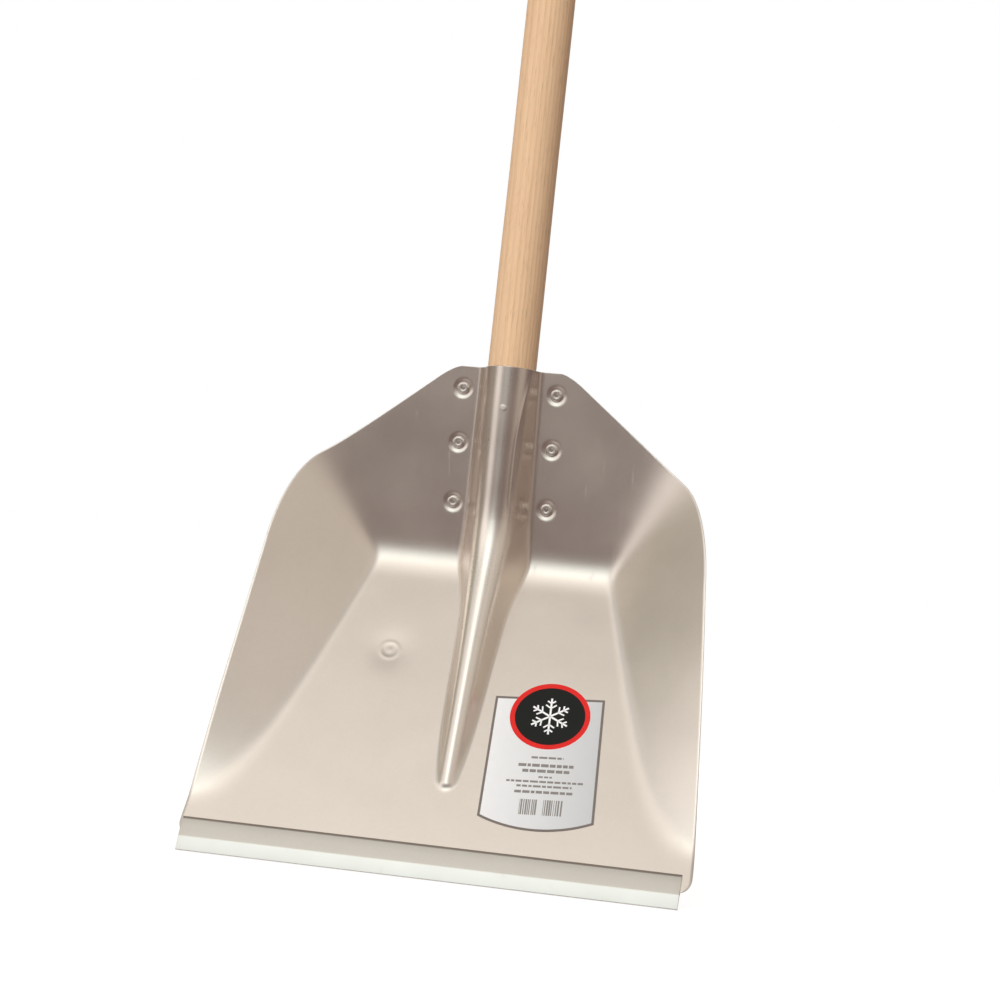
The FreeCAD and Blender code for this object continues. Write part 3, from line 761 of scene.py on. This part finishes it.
def plate_grid():
    """Places of the plate's grid: level rows across a tapering outline with rounded corners."""
    low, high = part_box("socket_plate")
    bottom, top = (low.z - BEND_Z) / MM, (high.z - BEND_Z) / MM
    rows = np.linspace(top, bottom, PLATE_GRID[0])
    down = (top - rows) / (top - bottom)
    halves = high.x / MM - PLATE_NARROWING * down
    for edge in (top, bottom):
        near = np.clip(PLATE_CORNER - np.abs(rows - edge), 0, PLATE_CORNER)
        halves = halves - (PLATE_CORNER - np.sqrt(PLATE_CORNER ** 2 - near ** 2))
    u = np.linspace(-1, 1, PLATE_GRID[1])
    xs = halves[:, None] * u[None, :]
    return xs, np.repeat(rows[:, None], len(u), 1)


plate_xs, plate_zs = plate_grid()
keep(thick_sheet("socket_plate_sheet", plate_xs, plate_zs, plate_front, plate_back, PLATE_METAL),
     "plate_aluminium", "socket_plate")


# ------------------------------------------------ rivets
def on_rear_wall(x, z):
    return (x, rear_wall(z), z)


WALL_OUT = (0.0, -math.cos(REAR_LEAN), -math.sin(REAR_LEAN))
SHEETS_BACK = -(SHEET + PLATE_GAP + PLATE_THICKNESS) - DISH_DEPTH * PLATE_DISH
BULB_END = SHEETS_BACK - RIVET_BULB_HEIGHT


def make_rivet(where, x, z):
    """Hollow blind rivet: ring-shaped head, shank, bulb behind the plate."""
    back = SHEETS_BACK
    seat = -DISH_DEPTH + RIVET_GAP
    profile = [(RIVET_BORE, BULB_END), (RIVET_BORE, 0.75), (1.9, 0.95), (2.8, 1.1), (3.8, 1.0), (4.5, 0.65),
               (RIVET_HEAD, 0.15), (4.75, seat), (2.4, seat), (2.4, back), (3.4, back - 0.35),
               (3.7, back - 1.2), (3.2, back - 2.5), (1.9, BULB_END), (RIVET_BORE, BULB_END)]
    piece = lathe(rounded(profile, 0.45), 48, WALL_OUT, on_rear_wall(x, z), "head_" + where, RIVET_METAL)
    keep(piece, "rivet_aluminium", "rivet_" + where)


def make_mandrel(where, x, z):
    """Broken-off pin inside the rivet, ending in a ball behind."""
    back = BULB_END
    radius = RIVET_BORE - RIVET_GAP
    profile = [(0.0, back - 1.2), (0.9, back - 1.15), (1.9, back - 0.7), (2.1, back - 0.2),
               (1.9, back - RIVET_GAP), (radius, back - RIVET_GAP), (radius, 0.55), (1.0, 0.70),
               (0.5, 0.62), (0.0, 0.66)]
    piece = lathe(rounded(profile, 0.25), 32, WALL_OUT, on_rear_wall(x, z), "pin_" + where, MANDREL_METAL)
    keep(piece, "mandrel_steel", "mandrel_" + where)


for row_name, row_z in RIVET_ROWS:
    for side_name, side_x in (("left", -RIVET_HALF), ("right", RIVET_HALF)):
        make_rivet(side_name + "_" + row_name, side_x, row_z)
        make_mandrel(side_name + "_" + row_name, side_x, row_z)


# ------------------------------------------------ nail
def make_nail():
    """Nail through socket and handle: hammered point in front, domed head behind the plate."""
    front = float(handle_radius(NAIL_Z)) + HANDLE_FIT + SHEET
    rear = float(handle_radius(NAIL_Z)) + HANDLE_FIT + PLATE_THICKNESS
    profile = [(0.0, -rear - 1.75), (2.6, -rear - 1.6), (4.1, -rear - 1.1), (4.5, -rear - 0.5), (4.5, -rear),
               (2.0, -rear), (2.0, front - 0.4), (3.2, front - 0.5), (3.0, front + 0.15), (2.2, front + 0.5),
               (1.1, front + 0.7), (0.0, front + 0.62)]
    piece = lathe(rounded(profile, 0.5), 40, (0, -1, 0), (0.0, 0.0, NAIL_Z), "nail", NAIL_METAL)
    keep(piece, "nail_steel", "handle_nail")


make_nail()


# ------------------------------------------------ handle
def make_handle():
    """Turned ash pole: tapered foot in the socket, very slightly uneven along its length, domed top."""
    bottom = (handle_low.z - BEND_Z) / MM
    top = (handle_high.z - BEND_Z) / MM
    shoulder = top - HANDLE_TOP_ROUNDING
    profile = [(0.0, bottom), (HANDLE_FOOT_RADIUS - HANDLE_FOOT_BEVEL, bottom),
               (HANDLE_FOOT_RADIUS, bottom + HANDLE_FOOT_BEVEL)]
    for z in np.linspace(bottom + 8, shoulder, 180):
        wear = HANDLE_WEAR * (math.sin(z * 0.013) + math.sin(z * 0.031 + 1.3)) - 2 * HANDLE_WEAR
        inside = smooth_step((TOP_EDGE_Z + HANDLE_WEAR_RISE - z) / HANDLE_WEAR_RISE)
        profile.append((float(handle_radius(z)) + wear * (1 - float(inside)) - HANDLE_SLACK, z))
    curve = ((profile[-1][0], shoulder), (HANDLE_RADIUS, top), (HANDLE_RADIUS * 0.55, top), (0.0, top))
    dome = bezier(curve, np.linspace(0, 1, 18))
    profile += [tuple(point) for point in dome[1:-1]] + [(0.0, top)]
    keep(lathe(profile, 96, (0, 0, 1), (0, 0, 0), "handle_pole", WOOD), "handle_wood", "handle")


make_handle()


# ------------------------------------------------ things lying on the floor of the blade
def on_floor(x, along, height):
    """Point that lies along the floor from the bend and height over it."""
    y = CREASE_Y - along * math.sin(FLOOR_LEAN) - height * math.cos(FLOOR_LEAN)
    z = -along * math.cos(FLOOR_LEAN) + height * math.sin(FLOOR_LEAN)
    return (x, y, z)


def lip_point(out, down):
    """Along and height of a point of the turned-down lip, out from the bend and down into it."""
    along = STRIP_BEND + out * math.cos(STRIP_LIP_DROP) - down * math.sin(STRIP_LIP_DROP)
    height = STRIP_GAP + STRIP_THICKNESS - out * math.sin(STRIP_LIP_DROP) - down * math.cos(STRIP_LIP_DROP)
    return along, height


def make_strip():
    """Folded steel strip: flange with a rolled-down edge, lip folded back on itself, lower flange."""
    thick = STRIP_THICKNESS
    top = STRIP_GAP + thick
    under = -SHEET - STRIP_GAP
    inner = FLOOR_LENGTH + 3 * STRIP_GAP
    nose = STRIP_LIP + STRIP_NOSE * thick
    path = [(inner, STRIP_GAP), (STRIP_START, STRIP_GAP), (STRIP_START + STRIP_ROLL[0], STRIP_ROLL[1]),
            (STRIP_START + STRIP_ROLL_LENGTH, top), (STRIP_BEND, top), lip_point(STRIP_LIP, 0),
            lip_point(nose, 0.6 * thick), lip_point(nose, 1.4 * thick), lip_point(STRIP_LIP, 2 * thick),
            (STRIP_BEND + 3 * thick, under - thick), (STRIP_UNDER_START + 0.2, under - thick),
            (STRIP_UNDER_START, under), (inner, under)]
    profile = rounded(path, 0.5)
    low, high = strip_low.x / MM, strip_high.x / MM
    bevel = STRIP_END_BEVEL
    step = bevel * 0.3
    stations = [(low, bevel), (low + step, step), (low + bevel, 0.0)]
    stations += [(x, 0.0) for x in np.linspace(low, high, 62)[1:-1]]
    stations += [(high - bevel, 0.0), (high - step, step), (high, bevel)]
    middle = np.mean(profile, axis=0)
    points = []
    for x, shrink in stations:
        for along, height in profile:
            away = np.array([along, height]) - middle
            pull = shrink * STRIP_END_ROUNDING * away / max(np.linalg.norm(away), 1e-6)
            points.append(on_floor(x, along - pull[0], height - pull[1]))
    size = len(profile)
    faces = []
    for i in range(len(stations) - 1):
        for j in range(size):
            k = (j + 1) % size
            faces.append((i * size + j, i * size + k, (i + 1) * size + k, (i + 1) * size + j))
    faces.append(tuple(reversed(range(size))))
    faces.append(tuple(range((len(stations) - 1) * size, len(stations) * size)))
    piece = make_object("edge_strip_folded", points, faces, STRIP_METAL)
    # the rolled upper edge takes the dark material: a painted shadow line along the flange's top
    piece.data.materials.append(STRIP_SHADE_LINE)
    shade_from, shade_to = STRIP_START + STRIP_SHADE_BAND[0], STRIP_START + STRIP_SHADE_BAND[1]
    for face in piece.data.polygons:
        j = face.vertices[0] % size
        along, height = profile[j]
        following = profile[(j + 1) % size]
        if shade_from <= min(along, following[0]) and max(along, following[0]) <= shade_to and height >= 0:
            face.material_index = 1
    return keep(piece, "edge_steel", "edge_strip")


make_strip()


# ------------------------------------------------ label
def label_outline(inset):
    """Outline of the label as (x, along), pulled in by inset; the bottom edge is an arc."""
    corners = [np.array(p, float) for p in LABEL_CORNERS]
    arc = arc_through(LABEL_CORNERS[3], LABEL_BOTTOM, LABEL_CORNERS[0], 25)
    ring = [corners[0], corners[1], corners[2]] + list(arc[:-1])
    ring = np.array(ring)
    ahead = np.roll(ring, -1, 0) - ring
    ahead /= np.linalg.norm(ahead, axis=1)[:, None]
    normal = np.stack([ahead[:, 1], -ahead[:, 0]], 1)
    middle = ring.mean(0)
    if ((middle - ring) * normal).sum() < 0:
        normal = -normal
    moved = []
    for i in range(len(ring)):
        n0, n1 = normal[i - 1], normal[i]
        bisector = (n0 + n1) / (1 + n0 @ n1)
        moved.append(ring[i] + bisector * inset)
    return moved


def print_on_floor(name, outlines, layer, material):
    """Thin closed plates in one piece on the floor of the blade, from outlines of (x, along) points."""
    points = []
    faces = []
    for outline in outlines:
        start = len(points)
        size = len(outline)
        for height in layer:
            points += [on_floor(x, along, height) for x, along in outline]
        faces.append(tuple(range(start, start + size)))
        faces.append(tuple(reversed(range(start + size, start + 2 * size))))
        for i in range(size):
            k = (i + 1) % size
            faces.append((start + i, start + i + size, start + k + size, start + k))
    piece = make_object(name, points, faces, material, smooth=False)
    work = bmesh.new()
    work.from_mesh(piece.data)
    bmesh.ops.recalc_face_normals(work, faces=work.faces)
    work.to_mesh(piece.data)
    work.free()
    return piece


def label_frame(x, along):
    """Label coordinates, across and down from the badge's centre, to (x, along)."""
    left = np.array(LABEL_CORNERS[0]) - np.array(LABEL_CORNERS[1])
    right = np.array(LABEL_CORNERS[3]) - np.array(LABEL_CORNERS[2])
    down = left / np.linalg.norm(left) + right / np.linalg.norm(right)
    down /= np.linalg.norm(down)
    across = np.array([down[1], -down[0]])
    if across[0] < 0:
        across = -across
    spot = np.array(BADGE_CENTRE) + across * x + down * along
    return tuple(spot)


def oval(inset):
    """Outline of the badge, pulled in by inset."""
    half_x, half_y = BADGE_HALF[0] - inset, BADGE_HALF[1] - inset
    angle = np.linspace(0, 2 * math.pi, 96, endpoint=False)
    return [label_frame(half_x * math.cos(a), half_y * math.sin(a)) for a in angle]


def bar(left, top, right, bottom):
    return [label_frame(left, top), label_frame(right, top), label_frame(right, bottom),
            label_frame(left, bottom)]


def stroke(start, end, width):
    """Outline of a straight line of that width, in label coordinates."""
    a, b = np.array(start), np.array(end)
    along = (b - a) / np.linalg.norm(b - a)
    across = np.array([-along[1], along[0]]) * width / 2
    return [label_frame(*p) for p in (a - across, a + across, b + across, b - across)]


def snowflake(radius):
    """Strokes of a six-armed snowflake with two pairs of side branches on each arm."""
    arm_width, branch_width, branch_turn = 1.5, 1.2, math.radians(55)
    outlines = []
    for arm in range(6):
        turn = math.radians(60 * arm + 30)
        tip = (radius * math.cos(turn), radius * math.sin(turn))
        outlines.append(stroke((0.0, 0.0), tip, arm_width))
        for share, reach in ((0.45, 0.32), (0.72, 0.24)):
            root = (tip[0] * share, tip[1] * share)
            length = radius * reach
            for lean in (-1, 1):
                branch = turn + lean * branch_turn
                end = (root[0] + length * math.cos(branch), root[1] + length * math.sin(branch))
                outlines.append(stroke(root, end, branch_width))
    return outlines


def small_print():
    """Rows of bars where the label carries small print, broken at word gaps."""
    shift, gap, shortest, longest = 2.0, 0.9, 2.4, 6.5
    outlines = []
    generator = np.random.default_rng(7)
    rows = ((35.6, 24.0, 1.7), (42.2, 42.0, 2.5), (46.9, 35.0, 2.5), (51.9, 10.0, 1.4), (55.9, 57.0, 1.7),
            (59.8, 41.0, 1.7), (64.6, 43.0, 2.2))
    for down, width, tall in rows:
        x = -width / 2 + shift
        end = x + width
        while x < end:
            word = min(float(generator.uniform(shortest, longest)), end - x)
            outlines.append(bar(x, down - tall / 2, x + word, down + tall / 2))
            x += word + gap
    return outlines


def stripes():
    """Plain upright stripes in two groups."""
    left, right, top, bottom = -14.5, 16.5, 70.8, 83.6
    gap_start, gap_end = -0.9, 2.2
    outlines = []
    generator = np.random.default_rng(11)
    x = left
    while x < right:
        width = float(generator.choice((0.45, 0.8, 1.2)))
        if not gap_start < x < gap_end:
            outlines.append(bar(x, top, x + width, bottom))
        x += width + float(generator.choice((0.45, 0.7, 1.0)))
    return outlines


def make_label():
    border = print_on_floor("label_border", [label_outline(0.0)], BORDER_LAYER, BORDER_INK)
    keep(border, "label_foil", "label")
    prints = (("label_face", [label_outline(LABEL_RIM)], FACE_LAYER, SILVER),
              ("badge_ring", [oval(0.0)], RING_LAYER, RED_INK),
              ("badge_centre", [oval(BADGE_RIM)], CENTRE_LAYER, BLACK_INK),
              ("badge_snowflake", snowflake(FLAKE_RADIUS), FLAKE_LAYER, WHITE_INK),
              ("label_small_print", small_print(), INK_LAYER, GREY_INK),
              ("label_stripes", stripes(), INK_LAYER, GREY_INK))
    for name, outlines, layer, material in prints:
        keep(print_on_floor(name, outlines, layer, material), "label_foil")


make_label()


# ------------------------------------------------ stage, light, camera
def direction(azimuth, elevation):
    """Unit vector; azimuth 0 points to -Y, where the camera stands, and 90 to +X."""
    a, e = math.radians(azimuth), math.radians(elevation)
    return (math.sin(a) * math.cos(e), -math.cos(a) * math.cos(e), math.sin(e))


# soft boxes of the studio: azimuth, elevation, inner and outer half angle, strength, colour
SOFT_BOXES = (
    (-8, 25, 8, 22, 1.12, (0.87, 1.00, 0.98)),
    (-43, 17, 8, 23, 1.00, (1.00, 0.98, 0.94)),
    (-58, 47, 6, 24, 0.28, (0.95, 0.97, 1.00)),
    (-20, 47, 8, 21, 0.78, (1.00, 0.95, 0.87)),
    (16, 38, 8, 34, 0.36, (1.00, 0.96, 0.91)),
    (60, 24, 8, 32, 0.40, (1.00, 0.94, 0.80)),
    (-80, 23, 8, 34, 0.17, (0.95, 1.00, 0.75)),
    (200, 40, 15, 60, 0.50, (1.00, 1.00, 1.00)),
    (165, -35, 15, 65, 0.60, (1.00, 0.99, 0.97)),
    (-70, -60, 15, 50, 0.80, (1.00, 0.99, 0.97)),
)
ROOM_LOW = (0.155, 0.108, 0.095)
ROOM_HIGH = (0.22, 0.20, 0.18)

KEY_ENERGY = 1.6
KEY_SPREAD = 40.0        # degrees
KEY_FROM = (-8, 25)      # azimuth, elevation

CAMERA_FROM = (10.87, -4.46)    # azimuth, elevation
CAMERA_ROLL = 6.12
CAMERA_DISTANCE = 2000.0
CAMERA_TARGET = (1.56, 0.0, 51.28)
CAMERA_LENS = 2.5728     # focal length, in sensor widths


def make_world():
    """Dim room with soft boxes for the metal to show; the camera itself sees plain white."""
    world = bpy.data.worlds.new("studio")
    bpy.context.scene.world = world
    world.use_nodes = True
    world.node_tree.nodes.clear()
    tree = Tree(world.node_tree)
    look = tree.add("ShaderNodeTexCoord").outputs["Generated"]
    height = tree.add("ShaderNodeSeparateXYZ", Vector=look).outputs["Z"]
    room = tree.mix(tree.remap(height, -0.1, 0.8, 0.0, 1.0, "SMOOTHSTEP"), (*ROOM_LOW, 1), (*ROOM_HIGH, 1))
    for azimuth, elevation, inner, outer, strength, colour in SOFT_BOXES:
        facing = tree.vector("DOT_PRODUCT", look, direction(azimuth, elevation))
        low, high = math.cos(math.radians(outer)), math.cos(math.radians(inner))
        glow = tree.remap(facing, low, high, 0.0, strength, "SMOOTHERSTEP")
        light = tree.add("ShaderNodeVectorMath", {"operation": "SCALE"}, Vector=colour, Scale=glow)
        room = tree.vector("ADD", room, light.outputs["Vector"])
    studio = tree.add("ShaderNodeBackground", Color=room, Strength=1.0)
    plain = tree.add("ShaderNodeBackground", Color=(1, 1, 1, 1), Strength=1.0)
    ray = tree.add("ShaderNodeLightPath").outputs["Is Camera Ray"]
    both = tree.add("ShaderNodeMixShader")
    for socket, source in zip(both.inputs, (ray, studio.outputs[0], plain.outputs[0])):
        tree.feed(socket, source)
    tree.add("ShaderNodeOutputWorld", Surface=both.outputs[0])


def make_key_light():
    """Broad frontal light for wood and print alone: the metal shows the soft boxes instead."""
    data = bpy.data.lights.new("key", "SUN")
    data.energy = KEY_ENERGY
    data.angle = math.radians(KEY_SPREAD)
    key = bpy.data.objects.new("key", data)
    key.rotation_mode = "QUATERNION"
    key.rotation_quaternion = Vector(direction(*KEY_FROM)).to_track_quat("Z", "Y")
    key.visible_glossy = False
    bpy.context.scene.collection.objects.link(key)


def make_floor():
    """Pale ground, unseen by the metal and just under the shovel's edge."""
    half = 9.0
    below = -0.0004
    mesh = bpy.data.meshes.new("floor")
    mesh.from_pydata([(-half, -half, below), (half, -half, below), (half, half, below), (-half, half, below)],
                     [], [(0, 1, 2, 3)])
    material, tree, shader = new_material("floor_pale")
    cloud = tree.noise(tree.place(), 0.8, 3.0)
    tree.feed(shader.inputs["Base Color"], tree.mix(cloud, (0.40, 0.40, 0.40, 1), (0.44, 0.44, 0.44, 1)))
    tree.feed(shader.inputs["Roughness"], 0.9)
    tree.feed(shader.inputs["Emission Color"], (1.0, 1.0, 1.0, 1))
    tree.feed(shader.inputs["Emission Strength"], 0.78)
    mesh.materials.append(material)
    floor = bpy.data.objects.new("floor", mesh)
    bpy.context.scene.collection.objects.link(floor)
    floor.visible_glossy = False
    floor.visible_diffuse = False


def make_camera():
    """Two metres in front of the blade, a little below square on, turned to the right and rolled."""
    azimuth, roll = math.radians(CAMERA_FROM[0]), math.radians(CAMERA_ROLL)
    back = Vector(direction(*CAMERA_FROM))
    level = Vector((math.cos(azimuth), math.sin(azimuth), 0.0))
    upright = back.cross(level)
    right = math.cos(roll) * level + math.sin(roll) * upright
    up = -math.sin(roll) * level + math.cos(roll) * upright
    spot = Vector(place([Vector(CAMERA_TARGET) + back * CAMERA_DISTANCE])[0])
    data = bpy.data.cameras.new("camera")
    data.sensor_width = 36.0
    data.lens = CAMERA_LENS * data.sensor_width
    data.clip_start = 0.05
    data.clip_end = 60.0
    camera = bpy.data.objects.new("camera", data)
    bpy.context.scene.collection.objects.link(camera)
    turn = Matrix((right, up, back)).transposed().to_4x4()
    camera.matrix_world = Matrix.Translation(spot) @ turn
    bpy.context.scene.camera = camera


make_world()
make_key_light()
make_floor()
make_camera()
bpy.context.scene.view_settings.view_transform = "Standard"
